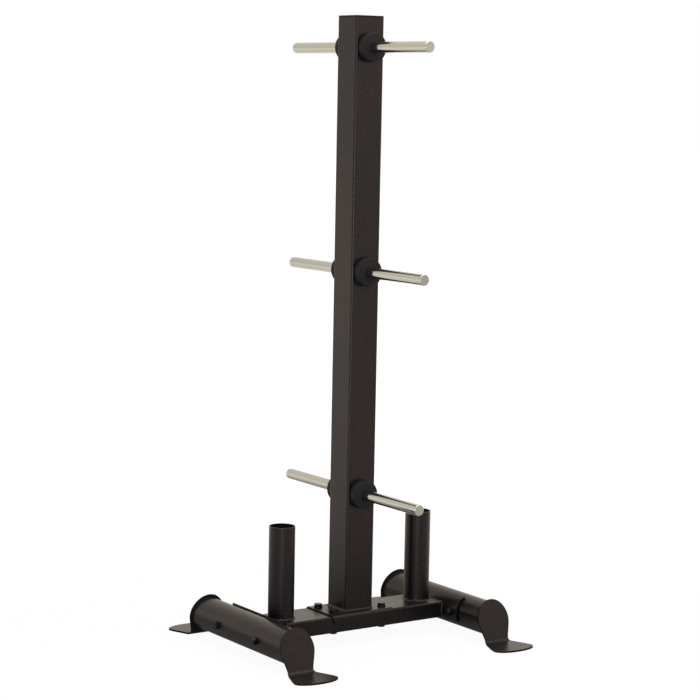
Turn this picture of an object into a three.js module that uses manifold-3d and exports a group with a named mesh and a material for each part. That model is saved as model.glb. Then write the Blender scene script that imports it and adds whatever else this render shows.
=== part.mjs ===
// Plate tree: a square column with three levels of chromed pegs on a bolted base with two bar holders.
// Millimetres, +Z up. The origin is on the floor under the column, +X runs along the crossbar, +Y along the feet.
import * as THREE from "three";
import { mergeVertices } from "three/addons/utils/BufferGeometryUtils.js";
import Module from "manifold-3d";

const wasm = await Module();
wasm.setup();

// Fits
const seatGap = 0.3; // left open where one piece seats on another
const overrun = 6; // how far a cutting solid runs past what it cuts

// Column and its cap
const overallHeight = 1447.8;
const columnSide = 76.2;
const columnWall = 3;
const columnCorner = 5;
const columnWeld = 5.5; // leg of the weld fillet round the column's foot
const capLip = 3.6;
const capRound = 1.2;
const capSkirtDepth = 20;
const capSkirtWall = 2.2;

// Pegs, their bumpers and the studs that join them through the column
const lowPegHeight = 351;
const middlePegRise = 3; // how far the middle pegs lie above halfway between the others
const topPegDrop = 71.4; // from the top of the whole to the top pegs
const pegRadius = 12.7;
const pegLength = 228.6; // from the column's face to the peg's end
const pegChamfer = 1.8;
const bumperRadius = 33;
const bumperThickness = 19;
const bumperRimRound = 2;
const studRadius = 6;
const studEngagement = 28; // thread held by each peg
const studEndRoom = 4; // bore left free beyond the stud's end

// Feet: round tubes with mitred ends
const footAxisHeight = 53.4;
const footSpacing = 546.7; // between the two tubes' axes
const footRadius = 39;
const footWall = 3;
const footWeld = 4;

// End plates: a leaning disc that narrows to a neck and is bent at the floor into a flared tab
const plateThickness = 4.5;
const plateLean = THREE.MathUtils.degToRad(18);
const plateReach = 199.6; // from the middle to the outer face, at the tube's axis
const plateTopRim = 8.3; // how far the plate stands out past the tube's end at the top, along the plate
const plateSideRim = 5; // the same at either side
const neckHalfWidth = 33;
const neckAboveBend = 2.5; // from the plate's narrowest place down to where the bend starts
const bendRadius = 4; // inside the bend
const tabReach = 299.5; // from the middle to the tab's tip
const tabHalfWidth = 55;
const tabRoundDepth = 25; // length of the tab's rounded end
const shoulderStartShare = 0.25; // how far the shoulder curve keeps its direction at each end
const shoulderEndShare = 0.15;
const flareStartShare = 0.15;
const flareEndShare = 0.2;

// Crossbar and the curved end saddles that it is welded to
const barWidth = 108;
const barHeight = 38.8;
const barWall = 3;
const barCorner = 4;
const endSaddleThickness = 5;
const endSaddleEnd = 27.5; // how far an end saddle runs past its bolts
const endSaddleRise = THREE.MathUtils.degToRad(64); // how far round the foot tube it reaches above the axis
const endSaddleBelow = 1; // how far it hangs below the crossbar

// Column saddle: a plate bent down over the crossbar's front and back
const columnSaddleThickness = 3;
const columnSaddleEnd = 17; // how far it runs past its bolts
const columnSaddleFlange = 18; // how far the flanges hang below the crossbar's top
const columnSaddleTaper = 6; // how much each end of a flange is drawn in at its lower edge

// Bar holders
const holderEndGap = 7.2; // from a holder's side to the end saddle
const holderRadius = 30.15;
const holderWall = 2.5;
const holderRim = 288; // height of the open rims above the floor
const holderWeld = 5;

// Fasteners: hexagon bolts, nuts and washers
const boltRadius = 5;
const boltClearance = 0.5; // between a bolt and its hole
const hexAcrossFlats = 17;
const headHeight = 6.4;
const nutHeight = 6;
const hexChamfer = 1.2;
const boltPoint = 1.2; // how far a bolt's end shows past its nut
const washerRadius = 10.5;
const washerThickness = 2;
const columnBoltOffset = 29.9; // from the column's side to its bolts
const columnBoltInset = 22; // from the crossbar's front and back to the same bolts
const footBoltOffset = 28.5; // from the crossbar's front and back to the foot bolts

// Smoothness of round shapes: sides of a full circle, and steps of a quarter turn
const tubeSides = 36;
const discSides = 28;
const pegSides = 24;
const fastenerSides = 16;
const shankSides = 12;
const saddleSteps = 9;
const cornerSteps = 4;
const rimSteps = 2;
const outlineSteps = 8;
const bendSteps = 5;

// Places that follow from the sizes above
const barBottom = footAxisHeight - barHeight / 2;
const barTop = footAxisHeight + barHeight / 2;
const saddleBase = barTop + seatGap;
const saddleTop = saddleBase + columnSaddleThickness;
const columnBase = saddleTop + seatGap;
const columnTop = overallHeight - capLip - seatGap;
const columnFace = columnSide / 2;
const topPegHeight = overallHeight - topPegDrop;
const middlePegHeight = (lowPegHeight + topPegHeight) / 2 + middlePegRise;
const footX = footSpacing / 2;
const endSaddleInside = footRadius + seatGap;
const endSaddleOutside = endSaddleInside + endSaddleThickness;
const endSaddleDrop = Math.asin((footAxisHeight - barBottom + endSaddleBelow) / endSaddleOutside);
const holderX = footX - endSaddleOutside - holderEndGap - holderRadius;
const plateHalfWidth = footRadius + plateSideRim;
const plateRise = footRadius / Math.cos(plateLean) + plateTopRim;
const boltHole = boltRadius + boltClearance;
const columnBoltX = columnFace + columnBoltOffset;
const columnBoltY = barWidth / 2 - columnBoltInset;
const columnSaddleLength = 2 * (columnBoltX + columnSaddleEnd);
const footBoltY = barWidth / 2 + footBoltOffset;
const endSaddleLength = 2 * (footBoltY + endSaddleEnd);
const hexRadius = hexAcrossFlats / Math.sqrt(3);
const quarter = Math.PI / 2;

// Finishes
const coat = { color: 0x2b2726, roughness: 0.45, metalness: 0.2 };
const chrome = { color: 0xd8d8d2, roughness: 0.12, metalness: 1 };
const rubber = { color: 0x151515, roughness: 0.8, metalness: 0 };
const plastic = { color: 0x1c1b1b, roughness: 0.6, metalness: 0 };
const darkSteel = { color: 0x262424, roughness: 0.4, metalness: 0.7 };
const plainSteel = { color: 0x8c8c8a, roughness: 0.35, metalness: 1 };

// A closed body from any geometry: equal points joined, flat triangles left out
function closedGeometry(geometry) {
  const bare = geometry.clone();
  bare.deleteAttribute("normal");
  bare.deleteAttribute("uv");
  const merged = mergeVertices(bare, seatGap / 1000);
  const index = merged.getIndex();
  const kept = [];
  for (let i = 0; i < index.count; i += 3) {
    const [a, b, c] = [index.getX(i), index.getX(i + 1), index.getX(i + 2)];
    if (a !== b && b !== c && c !== a) kept.push(a, b, c);
  }
  merged.setIndex(kept);
  return merged;
}

function solid(geometry) {
  const body = closedGeometry(geometry);
  const vertProperties = new Float32Array(body.getAttribute("position").array);
  const triVerts = new Uint32Array(body.getIndex().array);
  return new wasm.Manifold(new wasm.Mesh({ numProp: 3, vertProperties, triVerts }));
}

function geometryOf(body) {
  const result = body.getMesh();
  const geometry = new THREE.BufferGeometry();
  geometry.setAttribute("position", new THREE.BufferAttribute(new Float32Array(result.vertProperties), 3));
  geometry.setIndex(new THREE.BufferAttribute(new Uint32Array(result.triVerts), 1));
  return geometry;
}

function cut(body, tools) {
  return tools.reduce((left, tool) => left.subtract(tool), body);
}

const part = new THREE.Group();

function place(name, geometry, finish, parent = part) {
  const piece = new THREE.Mesh(geometry, new THREE.MeshStandardMaterial(finish));
  piece.name = name;
  parent.add(piece);
  return piece;
}

// A body through rings of equally many points; a wrapped one closes on itself like a hoop
function loft(rings, wrapped = false) {
  const around = rings[0].length;
  const points = rings.flat();
  const index = [];
  const bands = wrapped ? rings.length : rings.length - 1;
  for (let band = 0; band < bands; band += 1) {
    const here = band * around;
    const there = ((band + 1) % rings.length) * around;
    for (let i = 0; i < around; i += 1) {
      const next = (i + 1) % around;
      index.push(here + i, here + next, there + next, here + i, there + next, there + i);
    }
  }
  if (!wrapped) {
    const last = (rings.length - 1) * around;
    for (let i = 1; i < around - 1; i += 1) {
      index.push(0, i + 1, i, last, last + i, last + i + 1);
    }
  }
  const geometry = new THREE.BufferGeometry().setFromPoints(points);
  geometry.setIndex(volumeOf(points, index) < 0 ? index.reverse() : index);
  return geometry;
}

// Volume inside a closed surface, negative when its faces point inwards
function volumeOf(points, index) {
  let volume = 0;
  for (let i = 0; i < index.length; i += 3) {
    const [a, b, c] = [points[index[i]], points[index[i + 1]], points[index[i + 2]]];
    volume += a.clone().cross(b).dot(c) / 6;
  }
  return volume;
}

// A turned body about +Z from [radius, height] pairs, drawn from the axis or as a closed loop
function turned(profile, sides) {
  const points = profile.map(([radius, height]) => new THREE.Vector2(radius, height));
  return new THREE.LatheGeometry(points, sides).rotateX(quarter);
}

function rod(radius, low, high, sides) {
  return turned([[0, low], [radius, low], [radius, high], [0, high]], sides);
}

function ring(inside, outside, low, high, sides) {
  return turned([[inside, low], [outside, low], [outside, high], [inside, high], [inside, low]], sides);
}

// Points of a rounded rectangle, each with the direction that faces out there
function roundedRectangle(width, depth, radius) {
  const outline = [];
  for (let corner = 0; corner < 4; corner += 1) {
    const middle = quarter * (corner + 1 / 2);
    const cx = Math.sign(Math.cos(middle)) * (width / 2 - radius);
    const cy = Math.sign(Math.sin(middle)) * (depth / 2 - radius);
    for (let step = 0; step <= cornerSteps; step += 1) {
      const angle = quarter * (corner + step / cornerSteps);
      const out = new THREE.Vector2(Math.cos(angle), Math.sin(angle));
      outline.push({ at: new THREE.Vector2(cx, cy).addScaledVector(out, radius), out });
    }
  }
  return outline;
}

function shapeOf(outline) {
  return new THREE.Shape(outline.map((point) => point.at));
}

// A rectangular tube along +Z
function boxTube(width, depth, radius, wall, length) {
  const shape = shapeOf(roundedRectangle(width, depth, radius));
  const inside = roundedRectangle(width - 2 * wall, depth - 2 * wall, Math.max(radius - wall, wall / 2));
  shape.holes.push(new THREE.Path(inside.map((point) => point.at)));
  return new THREE.ExtrudeGeometry(shape, { depth: length, bevelEnabled: false });
}

// A bolt hole's cutter along +Z between two heights
function drill(x, y, low, high) {
  return rod(boltHole, low, high, shankSides).translate(x, y, 0);
}

// A weld fillet round an outline on a flat seat: its section is a triangle that reaches into the tube's wall
function filletRound(outline, leg, root, seat) {
  const sections = outline.map(({ at, out }) => {
    const point = (distance, height) => new THREE.Vector3(at.x + out.x * distance, at.y + out.y * distance, height);
    return [point(-root, seat), point(leg, seat), point(-root, seat + leg + root)];
  });
  return loft(sections, true);
}

// Column: the tube stands on its saddle inside a weld fillet, with holes for the three studs
function columnTube() {
  const length = columnTop - columnBase;
  const tube = solid(boxTube(columnSide, columnSide, columnCorner, columnWall, length).translate(0, 0, columnBase));
  const outline = roundedRectangle(columnSide, columnSide, columnCorner);
  const weld = solid(filletRound(outline, columnWeld, columnWall / 2, columnBase));
  const holes = [lowPegHeight, middlePegHeight, topPegHeight].map((height) => {
    const reach = columnFace + overrun;
    return solid(rod(studRadius + seatGap, -reach, reach, shankSides).rotateX(quarter).translate(0, 0, height));
  });
  return geometryOf(cut(tube.add(weld), holes));
}

// Cap: a lip with rounded upper edge and a skirt that plugs the tube
function columnCap() {
  const rings = [{ inset: 0, height: columnTop + seatGap }];
  for (let step = 0; step <= cornerSteps; step += 1) {
    const angle = (quarter * step) / cornerSteps;
    const inset = capRound * (1 - Math.cos(angle));
    rings.push({ inset, height: overallHeight - capRound * (1 - Math.sin(angle)) });
  }
  const outline = roundedRectangle(columnSide, columnSide, columnCorner);
  const lip = loft(rings.map(({ inset, height }) => outline.map(({ at, out }) => {
    return new THREE.Vector3(at.x - out.x * inset, at.y - out.y * inset, height);
  })));
  const plugSide = columnSide - 2 * (columnWall + seatGap);
  const plugCorner = Math.max(columnCorner - columnWall, columnWall / 2);
  const length = capSkirtDepth + seatGap + capLip / 2;
  const skirt = boxTube(plugSide, plugSide, plugCorner, capSkirtWall, length);
  skirt.translate(0, 0, columnTop - capSkirtDepth);
  return geometryOf(solid(lip).add(solid(skirt)));
}

// Pegs point along +Y from the column's face; the ones at the back are turned half a turn to the front
function peg() {
  const foot = columnFace + seatGap;
  const tip = columnFace + pegLength;
  const boreEnd = columnFace + studEngagement + studEndRoom;
  const boreRadius = studRadius + seatGap;
  const profile = [[boreRadius, foot], [pegRadius, foot], [pegRadius, tip - pegChamfer], [pegRadius - pegChamfer, tip]];
  profile.push([0, tip]);
  profile.unshift([0, boreEnd + boreRadius / Math.sqrt(3)], [boreRadius, boreEnd]);
  return turned(profile, pegSides).rotateX(-quarter);
}

function bumper() {
  const inside = pegRadius + seatGap;
  const back = columnFace + seatGap;
  const front = columnFace + bumperThickness;
  const profile = [[inside, back], [bumperRadius - bumperRimRound, back]];
  const turnRound = (centre, from) => {
    for (let step = 1; step <= rimSteps; step += 1) {
      const angle = from + (quarter * step) / rimSteps;
      const radius = bumperRadius - bumperRimRound + bumperRimRound * Math.cos(angle);
      profile.push([radius, centre + bumperRimRound * Math.sin(angle)]);
    }
  };
  turnRound(back + bumperRimRound, -quarter);
  profile.push([bumperRadius, front - bumperRimRound]);
  turnRound(front - bumperRimRound, 0);
  profile.push([inside, front], [inside, back]);
  return turned(profile, discSides).rotateX(-quarter);
}

function stud() {
  const reach = columnFace + studEngagement;
  return rod(studRadius, -reach, reach, shankSides).rotateX(quarter);
}

// The leaning plane of an end plate's outer face, seen along X: how far out it lies at a height
function plateFaceAt(height) {
  return plateReach + (footAxisHeight - height) * Math.tan(plateLean);
}

// How far the plate's inner face lies behind its outer one, measured level
const plateLevelThickness = plateThickness / Math.cos(plateLean);

// A foot's end is closed by the mitre: everything beyond the plate's inner face goes
function mitreCutter() {
  const reach = plateReach + footRadius;
  const high = footAxisHeight + footRadius + overrun;
  const low = footAxisHeight - footRadius - overrun;
  const faceAt = (height) => plateFaceAt(height) - plateLevelThickness - seatGap / Math.cos(plateLean);
  const corners = [[faceAt(low), low], [reach, low], [reach, high], [faceAt(high), high]];
  const shape = new THREE.Shape(corners.map(([y, z]) => new THREE.Vector2(y, z)));
  const width = 2 * (footRadius + overrun);
  const slab = new THREE.ExtrudeGeometry(shape, { depth: width, bevelEnabled: false });
  return slab.translate(0, 0, -width / 2).rotateY(quarter).rotateX(quarter);
}

// The weld round a mitred end: a triangle at every angle, its two legs on the tube and on the plate
function mitreWeld() {
  const sections = [];
  const plane = (height) => plateFaceAt(height) - plateLevelThickness - seatGap / Math.cos(plateLean);
  for (let side = 0; side < tubeSides; side += 1) {
    const angle = (2 * Math.PI * side) / tubeSides;
    const point = (radius, back) => {
      const height = footAxisHeight + radius * Math.sin(angle);
      return new THREE.Vector3(radius * Math.cos(angle), plane(height) - back, height);
    };
    const root = footRadius - footWall / 2;
    sections.push([point(root, 0), point(footRadius + footWeld, 0), point(root, footWeld + footWall / 2)]);
  }
  return loft(sections, true);
}

function footTube() {
  const length = 2 * plateFaceAt(footAxisHeight - footRadius);
  const along = (radius) => rod(radius, -length / 2, length / 2, tubeSides).rotateX(quarter);
  const skin = solid(along(footRadius).translate(0, 0, footAxisHeight));
  const bore = solid(along(footRadius - footWall).translate(0, 0, footAxisHeight));
  const cutter = mitreCutter();
  const ends = [solid(cutter), solid(cutter.clone().rotateZ(2 * quarter))];
  const weld = mitreWeld();
  const welds = [solid(weld), solid(weld.clone().rotateZ(2 * quarter))];
  const holes = [-1, 1].map((side) => {
    const reach = footRadius + footWeld;
    const hole = rod(boltHole, -reach, reach, shankSides).rotateY(quarter);
    return solid(hole.translate(0, side * footBoltY, footAxisHeight));
  });
  const tube = cut(skin, [bore, ...ends]);
  return geometryOf(cut(welds.reduce((whole, bead) => whole.add(bead), tube), holes));
}

// Half of the flat blank's outline: distance down from the tube's axis against half width
function blankOutline(neckAt, tabWideAt) {
  const point = (along, half) => new THREE.Vector2(along, half);
  const path = new THREE.CurvePath();
  const shoulderStart = neckAt * shoulderStartShare;
  const shoulderEnd = neckAt * (1 - shoulderEndShare);
  const flare = tabWideAt - neckAt;
  path.add(new THREE.EllipseCurve(0, 0, plateRise, plateHalfWidth, 2 * quarter, quarter, true));
  path.add(new THREE.CubicBezierCurve(
    point(0, plateHalfWidth),
    point(shoulderStart, plateHalfWidth),
    point(shoulderEnd, neckHalfWidth),
    point(neckAt, neckHalfWidth),
  ));
  path.add(new THREE.CubicBezierCurve(
    point(neckAt, neckHalfWidth),
    point(neckAt + flare * flareStartShare, neckHalfWidth),
    point(tabWideAt - flare * flareEndShare, tabHalfWidth),
    point(tabWideAt, tabHalfWidth),
  ));
  path.add(new THREE.EllipseCurve(tabWideAt, 0, tabRoundDepth, tabHalfWidth, quarter, 0, true));
  return path.curves.flatMap((curve, i) => curve.getPoints(outlineSteps).slice(i === 0 ? 0 : 1));
}

// End plate: the blank is drawn flat and folded at the floor, with its middle surface keeping its length
function endPlate() {
  const turn = quarter - plateLean;
  const middleRadius = bendRadius + plateThickness / 2;
  const down = new THREE.Vector2(Math.sin(plateLean), -Math.cos(plateLean));
  const out = new THREE.Vector2(Math.cos(plateLean), Math.sin(plateLean));
  const start = new THREE.Vector2(plateReach, footAxisHeight).addScaledVector(out, -plateThickness / 2);
  const foldPoint = (start.y - plateThickness / 2) / Math.cos(plateLean);
  const tangent = middleRadius * Math.tan(turn / 2);
  const bendStart = foldPoint - tangent;
  const bendLength = middleRadius * turn;
  const bendEnd = bendStart + bendLength;
  const tabStart = start.x + down.x * foldPoint + tangent;
  const tabEnd = bendEnd + tabReach - tabStart;
  const outline = blankOutline(bendStart - neckAboveBend, tabEnd - tabRoundDepth);

  const halfWidthAt = (along) => {
    const i = Math.max(1, outline.findIndex((point) => point.x >= along));
    const [a, b] = [outline[i - 1], outline[i]];
    return THREE.MathUtils.mapLinear(along, a.x, b.x, a.y, b.y);
  };
  const bendStations = Array.from({ length: bendSteps + 1 }, (_, i) => bendStart + (bendLength * i) / bendSteps);
  const clearOfBend = outline.filter((point) => point.x < bendStart || point.x > bendEnd);
  const inBend = bendStations.map((along) => new THREE.Vector2(along, halfWidthAt(along)));
  const stations = [...clearOfBend, ...inBend].sort((a, b) => a.x - b.x);

  const middleAt = (along) => {
    const turned = THREE.MathUtils.clamp((along - bendStart) / middleRadius, 0, turn);
    const angle = plateLean + turned;
    const normal = new THREE.Vector2(Math.cos(angle), Math.sin(angle));
    const at = start.clone().addScaledVector(down, Math.min(along, bendStart));
    const centre = start.clone().addScaledVector(down, bendStart).addScaledVector(out, middleRadius);
    if (along > bendStart) at.copy(centre).addScaledVector(normal, -middleRadius);
    if (along > bendEnd) at.x += along - bendEnd;
    return { at, normal };
  };
  const rings = stations.map(({ x: along, y: half }) => {
    const { at, normal } = middleAt(along);
    const corner = (side, face) => {
      const offset = (face * plateThickness) / 2;
      return new THREE.Vector3(side * half, at.x + normal.x * offset, at.y + normal.y * offset);
    };
    return [corner(1, 1), corner(-1, 1), corner(-1, -1), corner(1, -1)];
  });
  return loft(rings);
}

// Crossbar: a wide rectangular tube, coped at both ends to the end saddles and drilled for the column's bolts
function crossbarTube() {
  const length = 2 * footX;
  const tube = boxTube(barHeight, barWidth, barCorner, barWall, length).translate(0, 0, -length / 2);
  const body = solid(tube.rotateY(quarter).translate(0, 0, footAxisHeight));
  const copes = [-1, 1].map((side) => {
    const reach = barWidth / 2 + overrun;
    const cope = rod(endSaddleOutside + seatGap, -reach, reach, tubeSides).rotateX(quarter);
    return solid(cope.translate(side * footX, 0, footAxisHeight));
  });
  const holes = columnBoltPlaces().map(([x, y]) => solid(drill(x, y, barBottom - overrun, barTop + overrun)));
  return geometryOf(cut(body, [...copes, ...holes]));
}

// End saddle for the foot at -X: a curved plate against the inner side of the foot tube
function endSaddle() {
  const shape = new THREE.Shape();
  shape.absarc(0, 0, endSaddleOutside, -endSaddleDrop, endSaddleRise, false);
  shape.absarc(0, 0, endSaddleInside, endSaddleRise, -endSaddleDrop, true);
  const options = { depth: endSaddleLength, bevelEnabled: false, curveSegments: saddleSteps };
  const plate = new THREE.ExtrudeGeometry(shape, options).translate(0, 0, -endSaddleLength / 2);
  const holes = [-1, 1].map((side) => {
    const hole = rod(boltHole, 0, footRadius + endSaddleThickness + overrun, shankSides).rotateY(quarter);
    return solid(hole.translate(0, side * footBoltY, 0));
  });
  return geometryOf(cut(solid(plate.rotateX(quarter)), holes)).translate(-footX, 0, footAxisHeight);
}

function columnBoltPlaces() {
  const places = [];
  for (const sideX of [-1, 1]) {
    for (const sideY of [-1, 1]) places.push([sideX * columnBoltX, sideY * columnBoltY]);
  }
  return places;
}

// Column saddle: an inverted U bent round the crossbar's rounded edges, its flanges tapered at their ends
function columnSaddle() {
  const insideRadius = barCorner + seatGap;
  const outsideRadius = insideRadius + columnSaddleThickness;
  const cornerY = barWidth / 2 - barCorner;
  const cornerZ = barTop - barCorner;
  const flangeEnd = barTop - columnSaddleFlange;
  const shape = new THREE.Shape();
  shape.moveTo(cornerY + insideRadius, flangeEnd);
  shape.lineTo(cornerY + outsideRadius, flangeEnd);
  shape.absarc(cornerY, cornerZ, outsideRadius, 0, quarter, false);
  shape.absarc(-cornerY, cornerZ, outsideRadius, quarter, 2 * quarter, false);
  shape.lineTo(-cornerY - outsideRadius, flangeEnd);
  shape.lineTo(-cornerY - insideRadius, flangeEnd);
  shape.absarc(-cornerY, cornerZ, insideRadius, 2 * quarter, quarter, true);
  shape.absarc(cornerY, cornerZ, insideRadius, quarter, 0, true);
  shape.closePath();
  const options = { depth: columnSaddleLength, bevelEnabled: false, curveSegments: cornerSteps };
  const bent = new THREE.ExtrudeGeometry(shape, options).translate(0, 0, -columnSaddleLength / 2);
  const body = solid(bent.rotateY(quarter).rotateX(quarter));
  const holes = columnBoltPlaces().map(([x, y]) => solid(drill(x, y, barTop - overrun, saddleTop + overrun)));
  return geometryOf(cut(body, [...holes, ...flangeTapers(flangeEnd)]));
}

// Wedges that take the flanges' lower corners off
function flangeTapers(flangeEnd) {
  const high = barTop - barCorner;
  const outer = columnSaddleLength / 2;
  const slope = columnSaddleTaper / (high - flangeEnd);
  const corners = [
    [outer, high],
    [outer - columnSaddleTaper - slope * overrun, flangeEnd - overrun],
    [outer + overrun, flangeEnd - overrun],
    [outer + overrun, high],
  ];
  const shape = new THREE.Shape(corners.map(([x, z]) => new THREE.Vector2(x, z)));
  const width = barWidth + 2 * (columnSaddleThickness + overrun);
  const wedge = new THREE.ExtrudeGeometry(shape, { depth: width, bevelEnabled: false });
  wedge.translate(0, 0, -width / 2).rotateX(quarter);
  return [solid(wedge), solid(wedge.clone().rotateZ(2 * quarter))];
}

// Bar holder: an open tube on the crossbar, inside its weld fillet
function barHolder() {
  const base = barTop + seatGap;
  const inside = holderRadius - holderWall;
  const profile = [[inside, base], [holderRadius + holderWeld, base], [holderRadius, base + holderWeld]];
  profile.push([holderRadius, holderRim], [inside, holderRim], [inside, base]);
  return turned(profile, tubeSides);
}

// A hexagon prism along +Z whose corners are chamfered at the far end, with an optional bore
function hexagon(height, bore) {
  const prism = turned([[0, 0], [hexRadius, 0], [hexRadius, height], [0, height]], 6);
  const shoulder = hexAcrossFlats / 2 - hexChamfer / 2;
  const cone = [[0, -overrun], [hexRadius + overrun, -overrun], [hexRadius + overrun, height - hexChamfer]];
  cone.push([hexRadius, height - hexChamfer], [shoulder, height], [0, height]);
  const body = solid(prism).intersect(solid(turned(cone, fastenerSides)));
  return bore ? body.subtract(solid(rod(bore, -overrun, height + overrun, shankSides))) : body;
}

// A bolt along -Z: its head stands on z = 0 and its shank hangs down
function bolt(shank) {
  const stem = turned([
    [0, -shank],
    [boltRadius - boltPoint / 2, -shank],
    [boltRadius, -shank + boltPoint],
    [boltRadius, headHeight / 2],
    [0, headHeight / 2],
  ], shankSides);
  return geometryOf(hexagon(headHeight).add(solid(stem)));
}

function washer() {
  return ring(boltHole, washerRadius, 0, washerThickness, fastenerSides);
}

// A washer under a bolt that crosses a round surface: its lower face is hollowed to that radius
function curvedWasher(radius) {
  const rise = radius - Math.sqrt(radius ** 2 - washerRadius ** 2);
  const disc = solid(ring(boltHole, washerRadius, -rise, washerThickness, fastenerSides));
  const tube = rod(radius + seatGap, -2 * washerRadius, 2 * washerRadius, tubeSides);
  return geometryOf(disc.subtract(solid(tube.rotateX(quarter).translate(0, 0, -radius))));
}

// Column with everything that is carried on it
place("column_tube", columnTube(), coat);
place("column_cap", columnCap(), plastic);
place("column_saddle", columnSaddle(), coat);

const pegLevels = { low: lowPegHeight, middle: middlePegHeight, top: topPegHeight };
for (const [level, height] of Object.entries(pegLevels)) {
  for (const [end, turnBy] of Object.entries({ back: 0, front: 2 * quarter })) {
    const pegPiece = place(`peg_${level}_${end}`, peg(), chrome);
    const bumperPiece = place(`bumper_${level}_${end}`, bumper(), rubber);
    for (const piece of [pegPiece, bumperPiece]) {
      piece.position.z = height;
      piece.rotation.z = turnBy;
    }
  }
  place(`peg_stud_${level}`, stud(), plainSteel).position.z = height;
}

// Base: crossbar, bar holders, end saddles and feet
place("crossbar_tube", crossbarTube(), coat);
const sides = { left: -1, right: 1 };
for (const [side, sign] of Object.entries(sides)) {
  place(`bar_holder_${side}`, barHolder(), coat).position.x = sign * holderX;
  place(`end_saddle_${side}`, endSaddle(), coat).rotation.z = sign > 0 ? 2 * quarter : 0;
  place(`foot_tube_${side}`, footTube(), coat).position.x = sign * footX;
  for (const [end, turnBy] of Object.entries({ back: 0, front: 2 * quarter })) {
    const plate = place(`end_plate_${end}_${side}`, endPlate(), coat);
    plate.position.x = sign * footX;
    plate.rotation.z = turnBy;
  }
}

// Column bolts: head and washer on the column saddle, nut under the crossbar
const columnBoltSeat = saddleTop + washerThickness + 2 * seatGap;
const columnBoltShank = columnBoltSeat - barBottom + seatGap + nutHeight + boltPoint;
columnBoltPlaces().forEach(([x, y], i) => {
  const number = i + 1;
  place(`column_bolt_${number}`, bolt(columnBoltShank), darkSteel).position.set(x, y, columnBoltSeat);
  place(`column_washer_${number}`, washer(), darkSteel).position.set(x, y, saddleTop + seatGap);
  const nut = place(`column_nut_${number}`, geometryOf(hexagon(nutHeight, boltHole)), darkSteel);
  nut.position.set(x, y, barBottom - seatGap);
  nut.rotation.x = 2 * quarter;
});

// Foot bolts: head outside on the foot tube, nut inside on the end saddle, each on a curved washer
const headSeat = footRadius + washerThickness + seatGap;
const nutSeat = endSaddleOutside + washerThickness + seatGap;
const footBoltShank = headSeat + nutSeat + nutHeight + boltPoint;
for (const [side, sign] of Object.entries(sides)) {
  for (const [end, signY] of Object.entries({ back: 1, front: -1 })) {
    const across = new THREE.Group();
    across.position.set(sign * footX, signY * footBoltY, footAxisHeight);
    across.rotation.y = sign * quarter;
    part.add(across);
    const label = `${end}_${side}`;
    place(`foot_bolt_${label}`, bolt(footBoltShank), darkSteel, across).position.z = headSeat;
    place(`foot_washer_outer_${label}`, curvedWasher(footRadius), darkSteel, across).position.z = footRadius;
    const inner = place(`foot_washer_inner_${label}`, curvedWasher(endSaddleOutside), darkSteel, across);
    inner.position.z = -endSaddleOutside;
    inner.rotation.x = 2 * quarter;
    const nut = place(`foot_nut_${label}`, geometryOf(hexagon(nutHeight, boltHole)), darkSteel, across);
    nut.position.z = -nutSeat;
    nut.rotation.x = 2 * quarter;
  }
}

export default part;
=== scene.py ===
# %% [markdown]
# # A plate tree, dressed for its studio picture
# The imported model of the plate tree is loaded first. It is exact but faceted, so every piece that shows
# gets a smooth twin made with Blender's own modelling tools, at the size and place that the frame gives. A
# twin then stands for its node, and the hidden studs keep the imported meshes.

# %% Load the frame
import math
import bmesh
import bpy
from mathutils import Matrix, Vector


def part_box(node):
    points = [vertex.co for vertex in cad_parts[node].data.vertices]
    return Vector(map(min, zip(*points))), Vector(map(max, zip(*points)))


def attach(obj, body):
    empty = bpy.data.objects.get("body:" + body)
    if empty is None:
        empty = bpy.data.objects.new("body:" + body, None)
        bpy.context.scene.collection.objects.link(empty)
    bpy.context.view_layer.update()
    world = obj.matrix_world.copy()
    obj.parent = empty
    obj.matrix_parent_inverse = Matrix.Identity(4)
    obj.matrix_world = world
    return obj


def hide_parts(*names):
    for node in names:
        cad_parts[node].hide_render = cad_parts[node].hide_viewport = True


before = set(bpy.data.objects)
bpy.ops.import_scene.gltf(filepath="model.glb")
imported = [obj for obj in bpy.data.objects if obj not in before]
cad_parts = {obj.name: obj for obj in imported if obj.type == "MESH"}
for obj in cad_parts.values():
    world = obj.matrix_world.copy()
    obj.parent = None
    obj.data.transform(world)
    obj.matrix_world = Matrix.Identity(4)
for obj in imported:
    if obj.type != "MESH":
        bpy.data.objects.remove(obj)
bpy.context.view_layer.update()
MM = 0.001
DEG = math.radians(1)
QUARTER_TURN = 90 * DEG
HALF_TURN = 180 * DEG

# %% [markdown]
# ## The camera
# The picture was taken from the front left, from a little below the top of the column, with a long lens
# from about five metres away. It is also rolled by about one degree, so the camera's three axes are worked
# out from its azimuth, elevation and roll. The lens in millimetres is the focal length in widths of the
# picture times the sensor's width.

# %% The camera
CAMERA_PLACE = Vector((-2.82002, -4.10362, 1.27989))
CAMERA_AZIMUTH = -34.37 * DEG
CAMERA_ELEVATION = 6.84 * DEG
CAMERA_ROLL = 1.10 * DEG
SENSOR_WIDTH = 36.0
FOCAL_LENGTH = 111.468


def linked(name, data):
    """Puts new data into the scene as an object."""
    piece = bpy.data.objects.new(name, data)
    bpy.context.scene.collection.objects.link(piece)
    return piece


def camera_axes():
    """Right, up and back in the picture, rolled about the line of sight."""
    flat = math.cos(CAMERA_ELEVATION)
    aside, ahead = math.sin(CAMERA_AZIMUTH), math.cos(CAMERA_AZIMUTH)
    back = Vector((aside * flat, -ahead * flat, math.sin(CAMERA_ELEVATION)))
    right = Vector((ahead, aside, 0))
    up = back.cross(right)
    rolled_right = right * math.cos(CAMERA_ROLL) + up * math.sin(CAMERA_ROLL)
    rolled_up = up * math.cos(CAMERA_ROLL) - right * math.sin(CAMERA_ROLL)
    return rolled_right, rolled_up, back


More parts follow.
